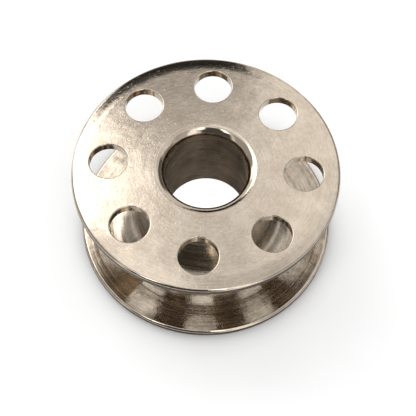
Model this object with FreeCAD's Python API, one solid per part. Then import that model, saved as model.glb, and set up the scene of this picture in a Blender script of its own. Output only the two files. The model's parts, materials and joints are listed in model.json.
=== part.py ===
import FreeCAD, Part
import math
import os

# One-piece turned steel bobbin for a lockstitch sewing machine, in millimetres.
# It stands on its lower flange: the origin is the centre of the underside, +Z runs up the bore.

# Flanges and core. The core meets the upper flange in a small corner, close inside the holes,
# and runs out into the lower flange in a wide hollow curve.
flange_diameter = 25.4
overall_height = 11.1
flange_thickness = 0.95
bore_diameter = 8.0
core_wall = 2.8
core_upper_corner = 0.4
core_hollow_radius = 3.0

# Rims. The pierced flange falls away outside its holes and has a rounded outer edge;
# the underside is flat to a plain broken edge, and so are both edges on the thread's side.
rim_slope_drop = 0.08
rim_rounding = 0.3
rim_inner_break = 0.12
underside_break = 0.36

# Mouths of the bore: a narrow one above, and a deeper lead-in below
top_mouth_width = 0.55
top_mouth_depth = 0.5
lower_mouth_width = 1.25
lower_mouth_depth = 2.0
mouth_rounding = 0.2

# Ring of holes in the upper flange, seated between the core and the rim
hole_count = 8
hole_diameter = 3.7
hole_core_web_share = 0.265
hole_edge_break = 0.08
hole_edge_clearance = 0.1
first_hole_angle = 0.0

# Share of a narrow web or wall that a rounding or corner beside it may take up
corner_share = 0.7

# Sizes that follow from the ones above
flange_radius = flange_diameter / 2
bore_radius = bore_diameter / 2
core_radius = bore_radius + core_wall
hole_radius = hole_diameter / 2
hole_webs = flange_radius - core_radius - hole_diameter
hole_core_web = hole_core_web_share * hole_webs
hole_circle_radius = core_radius + hole_core_web + hole_radius
hole_edge_reach = hole_radius + hole_edge_break + hole_edge_clearance
flat_radius = hole_circle_radius + hole_edge_reach
slope_width = flange_radius - flat_radius
rim_side_height = flange_thickness - rim_inner_break
rim_edge_rounding = min(rim_rounding, corner_share * min(rim_side_height - rim_slope_drop, slope_width))
underside_rim_break = min(underside_break, corner_share * rim_side_height)
core_upper_break = min(core_upper_corner, corner_share * hole_core_web)

sharp = 0


def point(radius, height):
    return FreeCAD.Vector(radius, 0, height)


def rounded_corner(before, corner, after, rounding):
    # Start, middle and end of the arc that rounds one corner of an outline.
    back = (before - corner).normalize()
    ahead = (after - corner).normalize()
    half_angle = back.getAngle(ahead) / 2
    tangent_length = rounding / math.tan(half_angle)
    inward = (back + ahead).normalize()
    middle = corner + inward * (rounding / math.sin(half_angle) - rounding)
    return corner + back * tangent_length, middle, corner + ahead * tangent_length


def closed_outline(corners):
    # Each corner is (radius, height, rounding). Straight runs join the arcs and sharp corners.
    places = [point(radius, height) for radius, height, rounding in corners]
    count = len(corners)
    bends = []
    for index in range(count):
        rounding = corners[index][2]
        if rounding == sharp:
            bends.append((places[index],))
        else:
            after = places[(index + 1) % count]
            bends.append(rounded_corner(places[index - 1], places[index], after, rounding))
    edges = []
    for index in range(count):
        bend = bends[index]
        if len(bend) > 1:
            edges.append(Part.Arc(*bend).toShape())
        edges.append(Part.makeLine(bend[-1], bends[(index + 1) % count][0]))
    return Part.Wire(edges)


def turned(corners, axis_foot):
    section = Part.Face(closed_outline(corners))
    section.translate(axis_foot)
    return section.revolve(axis_foot, FreeCAD.Vector(0, 0, 1), 360)


def turned_blank():
    # Half of the cut through the axis, from the lower mouth outwards and up.
    top = overall_height
    floor = flange_thickness
    ceiling = overall_height - flange_thickness
    rim = flange_radius
    inner_edge = flange_radius - rim_inner_break
    corners = [
        (bore_radius, lower_mouth_depth, sharp),
        (bore_radius + lower_mouth_width, 0, sharp),
        (rim - underside_rim_break, 0, sharp),
        (rim, underside_rim_break, sharp),
        (rim, floor - rim_inner_break, sharp),
        (inner_edge, floor, sharp),
        (core_radius, floor, core_hollow_radius),
        (core_radius, ceiling - core_upper_break, sharp),
        (core_radius + core_upper_break, ceiling, sharp),
        (inner_edge, ceiling, sharp),
        (rim, ceiling + rim_inner_break, sharp),
        (rim, top - rim_slope_drop, rim_edge_rounding),
        (flat_radius, top, sharp),
        (bore_radius + top_mouth_width, top, mouth_rounding),
        (bore_radius, top - top_mouth_depth, mouth_rounding),
    ]
    return turned(corners, FreeCAD.Vector(0, 0, 0))


def hole_cutter(index):
    # A drill through the upper flange that also breaks the hole's two edges.
    angle = math.radians(first_hole_angle + index * 360 / hole_count)
    across = hole_circle_radius * math.cos(angle)
    along = hole_circle_radius * math.sin(angle)
    top = overall_height
    ceiling = overall_height - flange_thickness
    corners = [
        (0, ceiling - hole_edge_clearance, sharp),
        (hole_edge_reach, ceiling - hole_edge_clearance, sharp),
        (hole_radius, ceiling + hole_edge_break, sharp),
        (hole_radius, top - hole_edge_break, sharp),
        (hole_edge_reach, top + hole_edge_clearance, sharp),
        (0, top + hole_edge_clearance, sharp),
    ]
    return turned(corners, FreeCAD.Vector(across, along, 0))


bobbin = turned_blank().cut([hole_cutter(index) for index in range(hole_count)])
solids = bobbin.Solids
os.makedirs("parts", exist_ok=True)
solids[0].exportStep("parts/bobbin.step")
volume = round(solids[0].Volume, 2)
print("bobbin:", len(solids), "solid, valid", solids[0].isValid(), "volume", volume, "mm3")
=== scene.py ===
import bpy
import bmesh
import json
import math
import random
from mathutils import Matrix, Vector


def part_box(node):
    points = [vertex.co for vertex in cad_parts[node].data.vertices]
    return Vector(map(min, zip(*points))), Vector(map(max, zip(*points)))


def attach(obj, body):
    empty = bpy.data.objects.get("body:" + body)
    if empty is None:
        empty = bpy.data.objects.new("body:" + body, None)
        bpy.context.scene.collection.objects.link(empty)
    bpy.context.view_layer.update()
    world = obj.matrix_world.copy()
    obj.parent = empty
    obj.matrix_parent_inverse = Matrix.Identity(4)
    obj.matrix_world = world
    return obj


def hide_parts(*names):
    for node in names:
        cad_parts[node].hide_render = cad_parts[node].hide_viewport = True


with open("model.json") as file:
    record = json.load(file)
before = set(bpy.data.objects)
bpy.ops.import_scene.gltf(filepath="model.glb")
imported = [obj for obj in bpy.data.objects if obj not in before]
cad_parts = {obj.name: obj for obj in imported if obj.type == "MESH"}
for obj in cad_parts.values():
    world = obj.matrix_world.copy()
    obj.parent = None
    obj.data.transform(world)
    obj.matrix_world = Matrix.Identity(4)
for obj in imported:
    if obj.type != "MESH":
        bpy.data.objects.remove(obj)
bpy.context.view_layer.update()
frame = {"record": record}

# A nickel plated sewing machine bobbin on a white table, seen from above.
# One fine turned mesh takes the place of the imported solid, with its small edges rounded.
# Sizes in the dictionaries are in millimetres and angles in degrees; Blender gets metres.
mm = 0.001
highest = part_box("bobbin")[1]
rimRadius = highest.x / mm
topHeight = highest.z / mm
boreMount = next(mount for mount in frame["record"]["mounts"] if mount["name"] == "bore")
boreRadius = boreMount["dims"]["r_mm"]
print("frame: rim radius", round(rimRadius, 3), "height", round(topHeight, 3), "bore radius", boreRadius)


def hexToLinear(code):
    # "d9cdbe" in sRGB to a linear colour with alpha
    channels = [int(code[start:start + 2], 16) / 255 for start in (0, 2, 4)]
    linear = [
        channel / 12.92 if channel <= 0.04045 else ((channel + 0.055) / 1.055) ** 2.4
        for channel in channels
    ]
    return (*linear, 1.0)


def addNode(tree, kind, settings=None, links=None):
    # settings go to the node's own properties or its inputs, links join other nodes' outputs to its inputs
    node = tree.nodes.new(kind)
    for name, value in (settings or {}).items():
        if isinstance(name, str) and hasattr(node, name):
            setattr(node, name, value)
        else:
            node.inputs[name].default_value = value
    for name, source in (links or {}).items():
        tree.links.new(source, node.inputs[name])
    return node


def newMaterial(name):
    material = bpy.data.materials.new(name)
    material.use_nodes = True
    material.node_tree.nodes.clear()
    return material, material.node_tree


def finishMaterial(tree, surface):
    addNode(tree, "ShaderNodeOutputMaterial", links={"Surface": surface})


# Camera

cameraSettings = {
    "azimuth": 4.18,  # turned from straight in front, anticlockwise seen from above
    "elevation": 59.59,
    "distance": 95.25,  # from the centre of the upper face
    "sensorWidth": 36,
    "lens": 87.44,
    "pan": -0.12,  # pan, tilt and roll turn it a little from looking straight at that centre
    "tilt": -2.31,
    "roll": 0.1,
    "clipStart": 5,
    "clipEnd": 20000,
}


def makeCamera():
    settings = cameraSettings
    azimuth, elevation = math.radians(settings["azimuth"]), math.radians(settings["elevation"])
    turn = Matrix.Rotation(azimuth, 4, "Z") @ Matrix.Rotation(math.pi / 2 - elevation, 4, "X")
    aim = (
        Matrix.Rotation(math.radians(settings["pan"]), 4, "Y")
        @ Matrix.Rotation(math.radians(settings["tilt"]), 4, "X")
        @ Matrix.Rotation(math.radians(settings["roll"]), 4, "Z")
    )
    place = Vector((0, 0, topHeight * mm)) + turn @ Vector((0, 0, settings["distance"] * mm))
    data = bpy.data.cameras.new("camera")
    data.sensor_width = settings["sensorWidth"]
    data.lens = settings["lens"]
    data.clip_start = settings["clipStart"] * mm
    data.clip_end = settings["clipEnd"] * mm
    camera = bpy.data.objects.new("camera", data)
    camera.matrix_world = Matrix.Translation(place) @ turn @ aim
    bpy.context.scene.collection.objects.link(camera)
    bpy.context.scene.camera = camera


makeCamera()
print("camera made")


# Bobbin: the section is turned as two chains of rings, and the pierced faces join them

bobbinSettings = {
    "flangeThickness": 0.95,
    "coreRadius": 6.8,
    "upperFillet": 0.4,  # between the core and the pierced flange
    "hollowRadius": 3.0,  # the core runs out into the lower flange in a wide curve
    "flatRadius": 11.2,  # where the pierced face hands over to the rim
    "slopeStart": 11.55,  # middle of the soft bend from the flat face to the falling rim
    "slopeDrop": 0.08,
    "slopeBlend": 8.5,  # radius of that bend
    "rimRounding": 0.3,
    "rimInnerRounding": 0.3,  # on the thread's side of both flanges
    "undersideBreak": 0.36,
    "undersideRounding": 0.1,
    "topMouthWidth": 0.55,
    "topMouthDepth": 0.5,
    "mouthRounding": 0.8,  # rolls the upper mouth into a lip
    "lipMargin": 0.42,  # of flat face outside the upper mouth, room for its rounding
    "lowerMouthWidth": 1.25,
    "lowerMouthDepth": 2.0,
    "lowerMouthRounding": 0.12,
    "holeCount": 8,
    "holeRadius": 1.85,
    "holeWeb": 1.617,  # from the hole's edge to the rim
    "holeRounding": 0.1,
    "holeMargin": 0.01,  # flat ring left round each hole's rounded edge
    "boreRingPitch": 0.42,
    "boreRingDepth": 0.012,
    "boreRingSpread": (0.35, 1.0),  # share of the depth that a ring has
    "boreRingSteps": 4,
    "boreTouch": 0.0001,  # a point this near to the bore's radius lies on its wall
    "segmentsPerHole": 44,  # round the axis; 44 keeps the mesh under 200,000 triangles
    "arcStep": 12,  # most degrees of an arc between two rings
    "supportGap": 0.05,  # from the end of an arc to the ring that holds its shading
    "longestRun": 0.8,
    "sideSteps": 14,  # along the line between two holes
    "sectorShares": (0.03, 0.1, 0.25, 0.45, 0.7),  # from a hole's edge out to its sector's outline
    "nickCount": 26,
    "nickDepth": 0.035,
    "nickWidth": 0.18,
    "nickDepthSpread": (0.3, 1.0),
    "nickWidthSpread": (0.6, 1.6),
    "nickFromThreadEdge": 0.1,
    "nickFromFaceEdge": 0.25,
    "nickBand": 0.25,  # how far in from the rim a nick can reach
    "nickFade": 6,  # square of the widths from its middle at which a nick ends
    "seed": 7,
}
holeCircle = rimRadius - bobbinSettings["holeWeb"] - bobbinSettings["holeRadius"]
segmentCount = bobbinSettings["segmentsPerHole"] * bobbinSettings["holeCount"]


def roundedCorner(before, corner, after, rounding):
    # points of the arc that rounds a corner of the section, both ends included
    if rounding == 0:
        return [corner]
    back, ahead = (before - corner).normalized(), (after - corner).normalized()
    halfAngle = back.angle(ahead) / 2
    centre = corner + (back + ahead).normalized() * (rounding / math.sin(halfAngle))
    first = corner + back * (rounding / math.tan(halfAngle))
    sweep = math.pi - 2 * halfAngle
    steps = max(2, math.ceil(math.degrees(sweep) / bobbinSettings["arcStep"]))
    side = -1 if back.cross(ahead) > 0 else 1
    points = []
    for step in range(steps + 1):
        spoke = first - centre
        spoke.rotate(Matrix.Rotation(side * sweep * step / steps, 2))
        points.append(centre + spoke)
    return points


def runPoints(start, end):
    # points between two arcs: one close to each end holds the arcs' shading off the flat run
    length = (end - start).length
    gap = bobbinSettings["supportGap"]
    if length < 4 * gap:  # too short for a ring at each end
        return []
    count = max(1, math.ceil((length - 2 * gap) / bobbinSettings["longestRun"]))
    distances = [gap + (length - 2 * gap) * step / count for step in range(count + 1)]
    return [start.lerp(end, distance / length) for distance in distances]


def sectionChain(corners):
    # corners are (radius, height, rounding); the first and last only end the chain
    places = [Vector((radius, height)) for radius, height, rounding in corners]
    bends = [[places[0]]]
    for index in range(1, len(corners) - 1):
        bends.append(roundedCorner(places[index - 1], places[index], places[index + 1], corners[index][2]))
    bends.append([places[-1]])
    points = []
    for index, bend in enumerate(bends):
        points += bend
        if index + 1 < len(bends):
            points += runPoints(bend[-1], bends[index + 1][0])
    return points


def boreRings(points):
    # the boring tool leaves shallow rings in the straight bore
    bobbin = bobbinSettings
    low = bobbin["lowerMouthDepth"] + bobbin["supportGap"]
    high = topHeight - bobbin["topMouthDepth"] - bobbin["mouthRounding"]
    count = round((high - low) / bobbin["boreRingPitch"])
    maker = random.Random(bobbin["seed"])
    depths = [bobbin["boreRingDepth"] * maker.uniform(*bobbin["boreRingSpread"]) for ring in range(count + 1)]
    rings = []
    for step in range(count * bobbin["boreRingSteps"] + 1):
        phase = step / bobbin["boreRingSteps"]
        cut = depths[int(phase)] * (0.5 - 0.5 * math.cos(2 * math.pi * phase))
        rings.append(Vector((boreRadius + cut, low + (high - low) * phase / count)))
    wall = boreRadius + bobbin["boreTouch"]
    kept = [point for point in points if not (point.x < wall and low < point.y < high)]
    above = next(index for index, point in enumerate(kept) if point.y >= high and point.x < wall)
    return kept[:above] + rings + kept[above:]


def upperRimChain():
    # from the pierced face round the upper rim to the thread's side
    bobbin = bobbinSettings
    ceiling = topHeight - bobbin["flangeThickness"]
    end = rimRadius - bobbin["rimInnerRounding"] - bobbin["supportGap"]
    return sectionChain([
        (bobbin["flatRadius"], topHeight, 0),
        (bobbin["slopeStart"], topHeight, bobbin["slopeBlend"]),
        (rimRadius, topHeight - bobbin["slopeDrop"], bobbin["rimRounding"]),
        (rimRadius, ceiling, bobbin["rimInnerRounding"]),
        (end, ceiling, 0),
    ])


def spoolChain():
    # from the pierced flange down the core, round the lower flange, and up the bore to the lip
    bobbin = bobbinSettings
    ceiling, floor = topHeight - bobbin["flangeThickness"], bobbin["flangeThickness"]
    start = bobbin["coreRadius"] + bobbin["upperFillet"] + bobbin["supportGap"]
    lipEdge = boreRadius + bobbin["topMouthWidth"]
    corners = [
        (start, ceiling, 0),
        (bobbin["coreRadius"], ceiling, bobbin["upperFillet"]),
        (bobbin["coreRadius"], floor, bobbin["hollowRadius"]),
        (rimRadius, floor, bobbin["rimInnerRounding"]),
        (rimRadius, bobbin["undersideBreak"], bobbin["undersideRounding"]),
        (rimRadius - bobbin["undersideBreak"], 0, bobbin["undersideRounding"]),
        (boreRadius + bobbin["lowerMouthWidth"], 0, bobbin["lowerMouthRounding"]),
        (boreRadius, bobbin["lowerMouthDepth"], bobbin["lowerMouthRounding"]),
        (boreRadius, topHeight - bobbin["topMouthDepth"], bobbin["mouthRounding"]),
        (lipEdge, topHeight, bobbin["mouthRounding"]),
        (lipEdge + bobbin["lipMargin"], topHeight, 0),
    ]
    return boreRings(sectionChain(corners))


def nicks():
    # small dents that handling left on both rims: (angle, height, depth, width)
    bobbin = bobbinSettings
    maker = random.Random(bobbin["seed"])
    ceiling = topHeight - bobbin["flangeThickness"]
    edges = [
        ceiling + bobbin["nickFromThreadEdge"], topHeight - bobbin["nickFromFaceEdge"],
        bobbin["flangeThickness"] - bobbin["nickFromThreadEdge"], bobbin["nickFromFaceEdge"],
    ]
    return [
        (
            maker.uniform(0, 2 * math.pi),
            maker.choice(edges),
            bobbin["nickDepth"] * maker.uniform(*bobbin["nickDepthSpread"]),
            bobbin["nickWidth"] * maker.uniform(*bobbin["nickWidthSpread"]),
        )
        for nick in range(bobbin["nickCount"])
    ]


def nickedRadius(radius, height, angle, dents):
    # the radius of a place on the rim, less what the nicks took there
    if radius < rimRadius - bobbinSettings["nickBand"]:
        return radius
    for nickAngle, nickHeight, depth, width in dents:
        across = math.remainder(angle - nickAngle, 2 * math.pi) * rimRadius
        away = (across / width) ** 2 + ((height - nickHeight) / width) ** 2
        if away < bobbinSettings["nickFade"]:
            radius -= depth * math.exp(-away)
    return radius


def turnChain(mesh, points, dents):
    # rings of vertices joined by quads; gives the rings back
    rings = []
    for point in points:
        ring = []
        for segment in range(segmentCount):
            angle = 2 * math.pi * segment / segmentCount
            radius = nickedRadius(point.x, point.y, angle, dents)
            place = Vector((radius * math.cos(angle), radius * math.sin(angle), point.y))
            ring.append(mesh.verts.new(place * mm))
        rings.append(ring)
    for ring, following in zip(rings, rings[1:]):
        joinRings(mesh, ring, following)
    return rings


def joinRings(mesh, ring, following):
    for index in range(len(ring)):
        after = (index + 1) % len(ring)
        mesh.faces.new((ring[index], ring[after], following[after], following[index]))


def holeWall(mesh, centreAngle, spokes):
    # one hole through the upper flange: rings from its rounded upper edge to its lower one
    bobbin = bobbinSettings
    rounding, radius = bobbin["holeRounding"], bobbin["holeRadius"]
    ceiling = topHeight - bobbin["flangeThickness"]
    profile = sectionChain([
        (radius + rounding + bobbin["holeMargin"], topHeight, 0),
        (radius, topHeight, rounding),
        (radius, ceiling, rounding),
        (radius + rounding + bobbin["holeMargin"], ceiling, 0),
    ])
    centre = Vector((holeCircle * math.cos(centreAngle), holeCircle * math.sin(centreAngle)))
    rings = []
    for point in profile:
        ring = []
        for spoke in spokes:
            flat = centre + point.x * Vector((math.cos(spoke + centreAngle), math.sin(spoke + centreAngle)))
            ring.append(mesh.verts.new(Vector((flat.x, flat.y, point.y)) * mm))
        rings.append(ring)
    for ring, following in zip(rings, rings[1:]):
        joinRings(mesh, ring, following)
    return rings[0], rings[-1]


def sectorLoop(innerRing, outerRing, hole, sides):
    # vertices round one hole's share of a face: out along one side, round the rim, in, and back
    perHole = bobbinSettings["segmentsPerHole"]
    first = hole * perHole - perHole // 2
    outer = [outerRing[(first + step) % segmentCount] for step in range(perHole + 1)]
    inner = [innerRing[(first + step) % segmentCount] for step in range(perHole + 1)]
    near = sides[hole]
    far = sides[(hole + 1) % bobbinSettings["holeCount"]]
    return outer + list(reversed(far)) + list(reversed(inner)) + near


def sideLines(mesh, innerRing, outerRing, count):
    # the lines midway between two holes, from the inner ring outwards, ends left out
    perHole = bobbinSettings["segmentsPerHole"]
    sides = []
    for hole in range(bobbinSettings["holeCount"]):
        index = (hole * perHole - perHole // 2) % segmentCount
        start, end = innerRing[index].co, outerRing[index].co
        sides.append([mesh.verts.new(start.lerp(end, step / count)) for step in range(1, count)])
    return sides


def fillSector(mesh, loop, holeRing):
    # quads between the hole's edge and the sector's outline, closer together near the hole
    rings = [holeRing]
    for share in bobbinSettings["sectorShares"]:
        rings.append([mesh.verts.new(near.co.lerp(far.co, share)) for near, far in zip(holeRing, loop)])
    rings.append(loop)
    for ring, following in zip(rings, rings[1:]):
        joinRings(mesh, ring, following)


def sectorSpokes(loop, centreAngle):
    # the angle at which each place of a sector's outline is seen from its hole's centre
    centre = Vector((holeCircle * math.cos(centreAngle), holeCircle * math.sin(centreAngle))) * mm
    spokes = []
    for vertex in loop:
        away = vertex.co.xy - centre
        spokes.append(math.atan2(away.y, away.x) - centreAngle)
    return spokes


def makeBobbin(materials):
    bobbin = bobbinSettings
    mesh = bmesh.new()
    dents = nicks()
    upperRim = turnChain(mesh, upperRimChain(), dents)
    spool = turnChain(mesh, spoolChain(), dents)
    topInner, topOuter = spool[-1], upperRim[0]
    lowInner, lowOuter = spool[0], upperRim[-1]
    topSides = sideLines(mesh, topInner, topOuter, bobbin["sideSteps"])
    lowSides = sideLines(mesh, lowInner, lowOuter, bobbin["sideSteps"])
    for hole in range(bobbin["holeCount"]):
        centreAngle = 2 * math.pi * hole / bobbin["holeCount"]
        topLoop = sectorLoop(topInner, topOuter, hole, topSides)
        lowLoop = sectorLoop(lowInner, lowOuter, hole, lowSides)
        upper, lower = holeWall(mesh, centreAngle, sectorSpokes(topLoop, centreAngle))
        fillSector(mesh, topLoop, upper)
        fillSector(mesh, lowLoop, lower)
    bmesh.ops.recalc_face_normals(mesh, faces=mesh.faces[:])
    mesh.normal_update()
    for face in mesh.faces:
        face.smooth = True
        face.material_index = finishAt(face.calc_center_median() / mm, face.normal.z)
    data = bpy.data.meshes.new("turnedBobbin")
    mesh.to_mesh(data)
    mesh.free()
    piece = bpy.data.objects.new("turnedBobbin", data)
    for material in materials:
        data.materials.append(material)
    bpy.context.scene.collection.objects.link(piece)
    return piece


# Where one finish ends and the next begins

faceFinish, edgeFinish, boreFinish, threadFinish, sideFinish = range(5)

finishSettings = {
    "boreMargin": 0.03,  # outside the bore's radius, takes in its turning rings
    "lipMargin": 0.1,  # outside the upper mouth
    "lipDepth": 0.2,  # below the upper mouth
    "sideDepth": 0.08,  # in from the rim
    "sideTilt": 0.42,  # a face that looks up or down by less than this share is upright
    "edgeDepth": 0.32,  # in from the rim
    "threadMargin": 0.01,
}


def finishAt(place, tilt):
    # which finish a place on the bobbin has; tilt is the upright share of the face's normal
    bobbin, finish = bobbinSettings, finishSettings
    radius = math.hypot(place.x, place.y)
    height = place.z
    ceiling, floor = topHeight - bobbin["flangeThickness"], bobbin["flangeThickness"]
    mouthFoot = topHeight - bobbin["topMouthDepth"]
    lipEdge = boreRadius + bobbin["topMouthWidth"] + finish["lipMargin"]
    if radius < boreRadius + finish["boreMargin"] and height < mouthFoot:
        return boreFinish
    # the upright sides of the rims take the finish whose dark colour is painted shade
    if radius > rimRadius - finish["sideDepth"] and abs(tilt) < finish["sideTilt"]:
        return sideFinish
    onLip = radius < lipEdge and height > mouthFoot - finish["lipDepth"]
    if onLip or radius > rimRadius - finish["edgeDepth"]:
        return edgeFinish
    if floor - finish["threadMargin"] < height < ceiling + finish["threadMargin"]:
        return threadFinish
    return faceFinish


# Nickel plated steel, turned, plated and buffed: a warm, slightly yellow metal whose fine round
# grain pulls every highlight out along the radius. The mottling left by the buffing breaks the
# edges of the reflections up, and the wide waves bend them.

grainRadius = 8  # in the middle of a flange, where a pattern has its full length round the axis

faceSettings = {
    "colour": "c5b8a8",
    "darkColour": "aea191",
    "roughness": 0.095,
    "roughnessSpread": 0.04,
    "anisotropy": 0.65,
    "grainPitch": 0.16,  # real buffing lines are about 0.02 apart by estimate, drawn coarser to show
    "grainLength": 5.0,
    "grainHeight": 0.0013,
    "mottleSize": 0.2,  # along the radius
    "mottleLength": 0.36,  # round the axis
    "mottleHeight": 0.0045,
    "mottleShare": 0.6,  # of the fine tone that the mottling sets; the grain sets the rest
    "waveSize": 1.7,
    "waveHeight": 0.011,
    "cloudShare": 0.4,  # of the whole tone that the wide clouds set
    "speckSize": 0.22,  # of the noise whose peaks are the fine pits
    "speckHeight": 0.002,
    "speckRange": (0.66, 0.74),  # of the noise, from no pit to a full one
    "toneRange": (0.38, 0.6),  # of the pattern, from the dark colour to the light one
    "roughnessRange": (0.3, 0.7),  # of the grain, from the smoothest to the roughest
}


def turnedCoordinates(tree, pitch, length):
    # stretched round the axis with no seam: one unit is a pitch along the radius or the height,
    # and a length round the axis
    place = addNode(tree, "ShaderNodeTexCoord").outputs["Object"]
    parts = addNode(tree, "ShaderNodeSeparateXYZ", links={"Vector": place})
    flat = addNode(tree, "ShaderNodeVectorMath", {"operation": "MULTIPLY", 1: (1, 1, 0)}, {0: place})
    radius = addNode(tree, "ShaderNodeVectorMath", {"operation": "LENGTH"}, {0: flat.outputs[0]})
    spoke = addNode(tree, "ShaderNodeVectorMath", {"operation": "NORMALIZE"}, {0: flat.outputs[0]})
    across = addNode(
        tree, "ShaderNodeMath", {"operation": "ADD"},
        {0: radius.outputs["Value"], 1: parts.outputs["Z"]},
    )
    rings = addNode(
        tree, "ShaderNodeMath", {"operation": "MULTIPLY", 1: 1 / (pitch * mm)}, {0: across.outputs[0]}
    )
    lift = addNode(tree, "ShaderNodeCombineXYZ", links={"Z": rings.outputs[0]})
    reach = addNode(
        tree, "ShaderNodeVectorMath", {"operation": "SCALE", "Scale": grainRadius / length},
        {0: spoke.outputs[0]},
    )
    stretched = addNode(
        tree, "ShaderNodeVectorMath", {"operation": "ADD"}, {0: reach.outputs[0], 1: lift.outputs[0]}
    )
    return stretched.outputs[0]


def nickelMaterial(name, settings):
    material, tree = newMaterial(name)
    grainPlace = turnedCoordinates(tree, settings["grainPitch"], settings["grainLength"])
    grain = addNode(
        tree, "ShaderNodeTexNoise", {"Scale": 1.0, "Detail": 3.0, "Roughness": 0.6}, {"Vector": grainPlace}
    )
    mottlePlace = turnedCoordinates(tree, settings["mottleSize"], settings["mottleLength"])
    mottle = addNode(
        tree, "ShaderNodeTexNoise", {"Scale": 1.0, "Detail": 4.0, "Roughness": 0.65}, {"Vector": mottlePlace}
    )
    place = addNode(tree, "ShaderNodeTexCoord").outputs["Object"]
    waveScale, speckScale = 1 / (settings["waveSize"] * mm), 1 / (settings["speckSize"] * mm)
    wave = addNode(tree, "ShaderNodeTexNoise", {"Scale": waveScale, "Detail": 2.0}, {"Vector": place})
    specks = addNode(tree, "ShaderNodeTexNoise", {"Scale": speckScale, "Detail": 1.0}, {"Vector": place})
    fewest, most = settings["speckRange"]
    pits = addNode(
        tree, "ShaderNodeMapRange", {"From Min": fewest, "From Max": most}, {"Value": specks.outputs["Fac"]}
    )
    blotches = addNode(
        tree, "ShaderNodeMix", {"data_type": "FLOAT", "Factor": settings["mottleShare"]},
        {"A": grain.outputs["Fac"], "B": mottle.outputs["Fac"]},
    )
    clouded = addNode(
        tree, "ShaderNodeMix", {"data_type": "FLOAT", "Factor": settings["cloudShare"]},
        {"A": blotches.outputs["Result"], "B": wave.outputs["Fac"]},
    )
    dark, light = settings["toneRange"]
    shade = addNode(
        tree, "ShaderNodeMapRange", {"From Min": dark, "From Max": light},
        {"Value": clouded.outputs["Result"]},
    )
    tone = addNode(
        tree, "ShaderNodeMix",
        {"data_type": "RGBA", "A": hexToLinear(settings["darkColour"]), "B": hexToLinear(settings["colour"])},
        {0: shade.outputs["Result"]},
    )
    smoothest, roughest = settings["roughnessRange"]
    roughness = addNode(
        tree, "ShaderNodeMapRange",
        {
            "From Min": smoothest, "From Max": roughest,
            "To Min": settings["roughness"] - settings["roughnessSpread"],
            "To Max": settings["roughness"] + settings["roughnessSpread"],
        },
        {"Value": grain.outputs["Fac"]},
    )
    swell = addNode(
        tree, "ShaderNodeBump", {"Distance": settings["waveHeight"] * mm}, {"Height": wave.outputs["Fac"]}
    )
    dapple = addNode(
        tree, "ShaderNodeBump", {"Distance": settings["mottleHeight"] * mm},
        {"Height": mottle.outputs["Fac"], "Normal": swell.outputs["Normal"]},
    )
    lines = addNode(
        tree, "ShaderNodeBump", {"Distance": settings["grainHeight"] * mm},
        {"Height": grain.outputs["Fac"], "Normal": dapple.outputs["Normal"]},
    )
    dints = addNode(
        tree, "ShaderNodeBump", {"Distance": settings["speckHeight"] * mm, "invert": True},
        {"Height": pits.outputs["Result"], "Normal": lines.outputs["Normal"]},
    )
    # the tangent runs round the axis, and a quarter turn of the anisotropy points it along the radius
    tangent = addNode(tree, "ShaderNodeTangent", {"direction_type": "RADIAL", "axis": "Z"})
    shader = addNode(
        tree, "ShaderNodeBsdfPrincipled",
        {"Metallic": 1.0, "Anisotropic": settings["anisotropy"], "Anisotropic Rotation": 0.25},
        {
            "Base Color": tone.outputs["Result"],
            "Roughness": roughness.outputs["Result"],
            "Normal": dints.outputs["Normal"],
            "Tangent": tangent.outputs["Tangent"],
        },
    )
    finishMaterial(tree, shader.outputs["BSDF"])
    return material


# Polished edge: the rims and the lip, where the buffing wheel bears hardest. Smoother and with
# little grain, so that it catches the light in thin bright lines.
edgeSettings = dict(faceSettings, roughness=0.07, roughnessSpread=0.02, anisotropy=0.2)

# Unbuffed side: the upright sides of the rims, which the wheel misses, and dull. Their very dark colour is
# painted shade, so that each flange has a dark line under its bright edge.
sidePaintedShadeSettings = dict(
    faceSettings, colour="4d4237", darkColour="2a241d", roughness=0.3, roughnessSpread=0.1, anisotropy=0.6
)

# Bored: the wall of the bore, left as the boring tool cut it. Its fine rings spread each light
# into a soft upright band.
boreSettings = dict(
    faceSettings, colour="cfbea8", darkColour="8d7e6e", roughness=0.24, roughnessSpread=0.05, anisotropy=1.0,
    mottleShare=0.25
)

# Turned: the core and the faces towards the thread, left from the lathe and not buffed. Streaks run round the
# axis and the wide waves break the reflected lights into patches. Its dark colour, darker than the buffed
# face's, is painted shade for the groove between the flanges.
threadSettings = dict(
    faceSettings, colour="c4b7a6", darkColour="7d7265", roughness=0.13, roughnessSpread=0.05, anisotropy=1.0,
    mottleShare=0.4, mottleHeight=0.007, waveSize=2.4, waveHeight=0.045
)

turnedBobbin = makeBobbin([
    nickelMaterial("nickelPlatedSteelBuffed", faceSettings),
    nickelMaterial("nickelPlatedSteelPolishedEdge", edgeSettings),
    nickelMaterial("nickelPlatedSteelBored", boreSettings),
    nickelMaterial("nickelPlatedSteelTurnedWithPaintedShade", threadSettings),
    nickelMaterial("nickelPlatedSteelUnbuffedSidePaintedShade", sidePaintedShadeSettings),
])
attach(turnedBobbin, "root")
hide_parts("bobbin")
print("bobbin made:", len(turnedBobbin.data.polygons), "faces")


# White table

floorSettings = {
    "size": 3000,
    "colour": "d8d8d8",
    "glow": 0.36,
    # the next two set the painted contact shadow: how far the glow is taken away near the bobbin, and how
    # steeply
    "paintedShadeReach": 2.2,  # within which the bobbin takes the glow away
    "paintedShadePower": 2.2,
    "contactSamples": 16,
    # painted light: the floor seen through the bore glows white to the eye
    "paintedLightUnderBore": 1.0,
    "boreReach": 5.2,  # just inside the foot of the lower mouth
    "boreEdge": 0.1,  # over which that floor hands over to the rest
}


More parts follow.
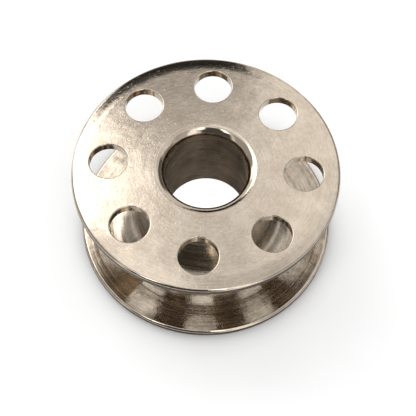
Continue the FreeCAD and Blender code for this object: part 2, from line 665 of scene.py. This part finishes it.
def floorMaterial():
    # painted board: matt, with a plain glow to the eye and to the metal that makes it white
    board = floorSettings
    material, tree = newMaterial("whitePaintedBoard")
    path = addNode(tree, "ShaderNodeLightPath")
    place = addNode(tree, "ShaderNodeTexCoord").outputs["Object"]
    away = addNode(tree, "ShaderNodeVectorMath", {"operation": "LENGTH"}, {0: place})
    reach = board["boreReach"]
    edge = {"From Min": reach * mm, "From Max": (reach + board["boreEdge"]) * mm}
    pastBore = addNode(tree, "ShaderNodeMapRange", edge, {"Value": away.outputs["Value"]})
    mirrored = addNode(
        tree, "ShaderNodeMath", {"operation": "MAXIMUM"},
        {0: path.outputs["Is Glossy Ray"], 1: path.outputs["Is Transmission Ray"]},
    )
    # the floor inside the bore glows to the eye only, at full white: a painted pool of light where the floor
    # lies in the bobbin's shadow, so that the bore's wall stays dark
    mirroredPastBore = addNode(
        tree, "ShaderNodeMath", {"operation": "MULTIPLY"},
        {0: mirrored.outputs[0], 1: pastBore.outputs["Result"]},
    )
    seenAll = addNode(
        tree, "ShaderNodeMath", {"operation": "MAXIMUM"},
        {0: path.outputs["Is Camera Ray"], 1: mirroredPastBore.outputs[0]},
    )
    # the glow fades where the bobbin stands close, by ambient occlusion: a painted contact shadow, so that
    # the glow doesn't fill the shadow
    nearby = addNode(
        tree, "ShaderNodeAmbientOcclusion",
        {"samples": board["contactSamples"], "Distance": board["paintedShadeReach"] * mm},
    )
    contact = addNode(
        tree, "ShaderNodeMath", {"operation": "POWER", 1: board["paintedShadePower"]}, {0: nearby.outputs["AO"]}
    )
    outside = addNode(
        tree, "ShaderNodeMath", {"operation": "MULTIPLY", 1: board["glow"]}, {0: contact.outputs[0]}
    )
    level = addNode(
        tree, "ShaderNodeMapRange", {**edge, "To Min": board["paintedLightUnderBore"]},
        {"Value": away.outputs["Value"], "To Max": outside.outputs[0]},
    )
    strength = addNode(
        tree, "ShaderNodeMath", {"operation": "MULTIPLY"}, {0: seenAll.outputs[0], 1: level.outputs["Result"]}
    )
    paint = addNode(tree, "ShaderNodeBsdfDiffuse", {"Color": hexToLinear(board["colour"])})
    glow = addNode(tree, "ShaderNodeEmission", {"Color": (1, 1, 1, 1)}, {"Strength": strength.outputs[0]})
    both = addNode(tree, "ShaderNodeAddShader", links={0: paint.outputs[0], 1: glow.outputs[0]})
    finishMaterial(tree, both.outputs[0])
    return material


def makeFloor():
    half = floorSettings["size"] / 2 * mm
    data = bpy.data.meshes.new("whiteTable")
    corners = [(-half, -half, 0), (half, -half, 0), (half, half, 0), (-half, half, 0)]
    data.from_pydata(corners, [], [(0, 1, 2, 3)])
    data.materials.append(floorMaterial())
    table = bpy.data.objects.new("whiteTable", data)
    bpy.context.scene.collection.objects.link(table)


makeFloor()
print("table made")


# Studio: a bright room with white panels and dark flags, painted on the world by direction, which
# is what the metal mirrors. Azimuth 0 is the camera's right and 90 straight behind the bobbin.
# A panel covers the ones that stand before it in the list.

studioSettings = {
    "room": 1.08,
    "bounces": 24,  # light goes back and forth many times between the two flanges
    # azimuth, elevation, half width, half height, strength, soft edge; all in degrees but the strength
    "panels": {
        "leftWall": (180, 20, 28, 42, 0.5, 8),
        "rightWall": (326, 22, 22, 44, 0.74, 8),
        "lowRightFlag": (359, 6, 18, 18, 0.38, 8),
        "backCard": (73, 56, 12, 9.5, 1.42, 4),
        "scrim": (72, 75, 22.5, 7.5, 0.88, 2.5),
        "upperLeftScrim": (115, 73, 20, 10.5, 1.6, 3),
        "softboxShoulder": (101, 60, 4, 3, 2.3, 2),
        "leftSoftbox": (127, 48, 25, 15, 3.6, 4),
        "lowLeftSoftbox": (142, 18, 8, 22, 2.4, 5),
        "greyBackFlag": (92.5, 52, 7, 5.5, 0.72, 4),
        "blackBackFlag": (96.5, 37, 13.5, 15, 0.03, 3),
        "blackRightFlag": (38, 14, 22, 20, 0.17, 6),
        "cameraFlag": (248, 32, 32, 38, 0.11, 5),
        "topCard": (262, 79, 34, 6, 1.5, 3),
        "rimStrip": (298, 38, 9, 30, 1.8, 5),
        "boreLeftStrip": (281, 58, 6, 11, 4.5, 4),
        "boreRightStrip": (223, 58, 6, 11, 4.5, 4),
    },
}


def panelMask(tree, direction, azimuth, elevation, halfWidth, halfHeight, softEdge):
    # one inside the panel and nothing outside it, with its soft edge between
    turned = addNode(
        tree, "ShaderNodeVectorRotate",
        {"rotation_type": "Z_AXIS", "Angle": -math.radians(azimuth + cameraSettings["azimuth"])},
        {"Vector": direction},
    )
    parts = addNode(tree, "ShaderNodeSeparateXYZ", links={"Vector": turned.outputs["Vector"]})
    across = addNode(
        tree, "ShaderNodeMath", {"operation": "ARCTAN2"}, {0: parts.outputs["Y"], 1: parts.outputs["X"]}
    )
    height = addNode(tree, "ShaderNodeMath", {"operation": "ARCSINE"}, {0: parts.outputs["Z"]})
    raised = addNode(
        tree, "ShaderNodeMath", {"operation": "SUBTRACT", 1: math.radians(elevation)}, {0: height.outputs[0]}
    )
    sides = []
    for angle, half in ((across, halfWidth), (raised, halfHeight)):
        size = addNode(tree, "ShaderNodeMath", {"operation": "ABSOLUTE"}, {0: angle.outputs[0]})
        sides.append(addNode(
            tree, "ShaderNodeMapRange",
            {
                "interpolation_type": "SMOOTHSTEP",
                "From Min": math.radians(half + softEdge / 2), "From Max": math.radians(half - softEdge / 2),
            },
            {"Value": size.outputs[0]},
        ))
    return addNode(
        tree, "ShaderNodeMath", {"operation": "MULTIPLY"},
        {0: sides[0].outputs["Result"], 1: sides[1].outputs["Result"]},
    ).outputs[0]


def makeStudio():
    world = bpy.data.worlds.new("studio")
    world.use_nodes = True
    tree = world.node_tree
    tree.nodes.clear()
    direction = addNode(tree, "ShaderNodeTexCoord").outputs["Generated"]
    level = addNode(tree, "ShaderNodeValue").outputs[0]
    level.default_value = studioSettings["room"]
    panels = studioSettings["panels"].values()
    for azimuth, elevation, halfWidth, halfHeight, strength, softEdge in panels:
        mask = panelMask(tree, direction, azimuth, elevation, halfWidth, halfHeight, softEdge)
        level = addNode(
            tree, "ShaderNodeMix", {"data_type": "FLOAT", "B": strength}, {"Factor": mask, "A": level}
        ).outputs["Result"]
    sky = addNode(tree, "ShaderNodeBackground", {"Color": (1, 1, 1, 1)}, {"Strength": level})
    addNode(tree, "ShaderNodeOutputWorld", links={"Surface": sky.outputs[0]})
    scene = bpy.context.scene
    scene.world = world
    scene.view_settings.view_transform = "Standard"
    scene.cycles.max_bounces = studioSettings["bounces"]
    scene.cycles.glossy_bounces = studioSettings["bounces"]


makeStudio()
print("studio made")
